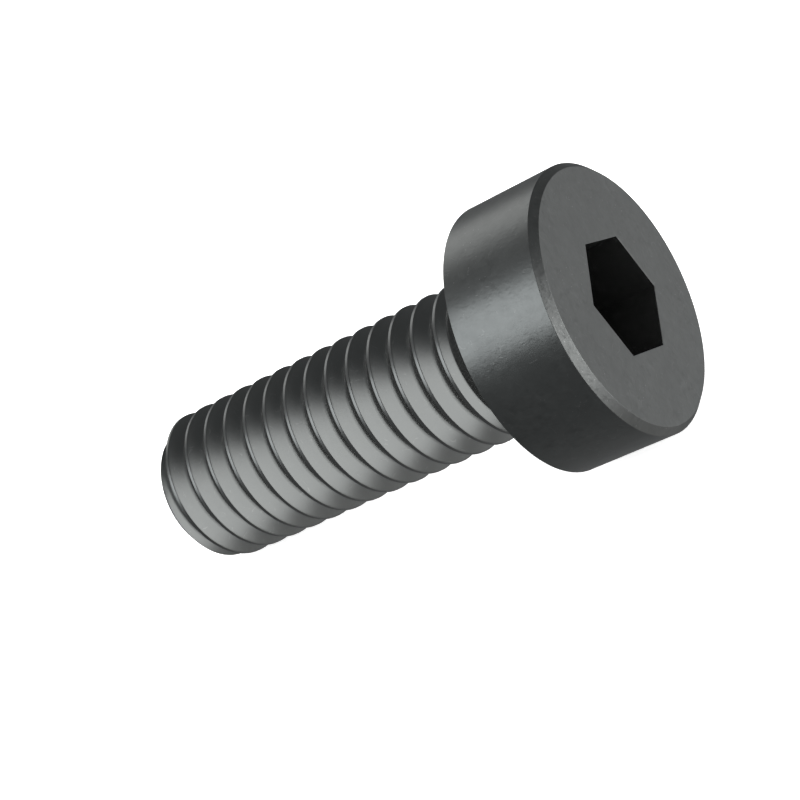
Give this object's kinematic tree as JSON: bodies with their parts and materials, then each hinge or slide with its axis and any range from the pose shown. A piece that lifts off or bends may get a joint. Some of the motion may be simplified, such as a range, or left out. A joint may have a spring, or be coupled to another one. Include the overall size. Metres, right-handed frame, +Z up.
{
  "type": "low head socket cap screw",
  "caption": "Low cylindrical head cap screw with a hexagon socket and a right-hand thread up to the head, in black steel.",
  "frame": {"origin": "centre of the bearing face under the head, on the screw's own axis", "axes": "+Z up. The screw lies on the rim of its head and the crest near its tip, head towards +X. Its own axis leans 7.849 degrees from +X towards +Z."},
  "size_m": [0.0206, 0.0098, 0.0103],
  "materials": {
    "black_steel": "satin black oxide on alloy steel"
  },
  "bodies": {
    "root": {"screw": "black_steel"}
  },
  "joints": []
}
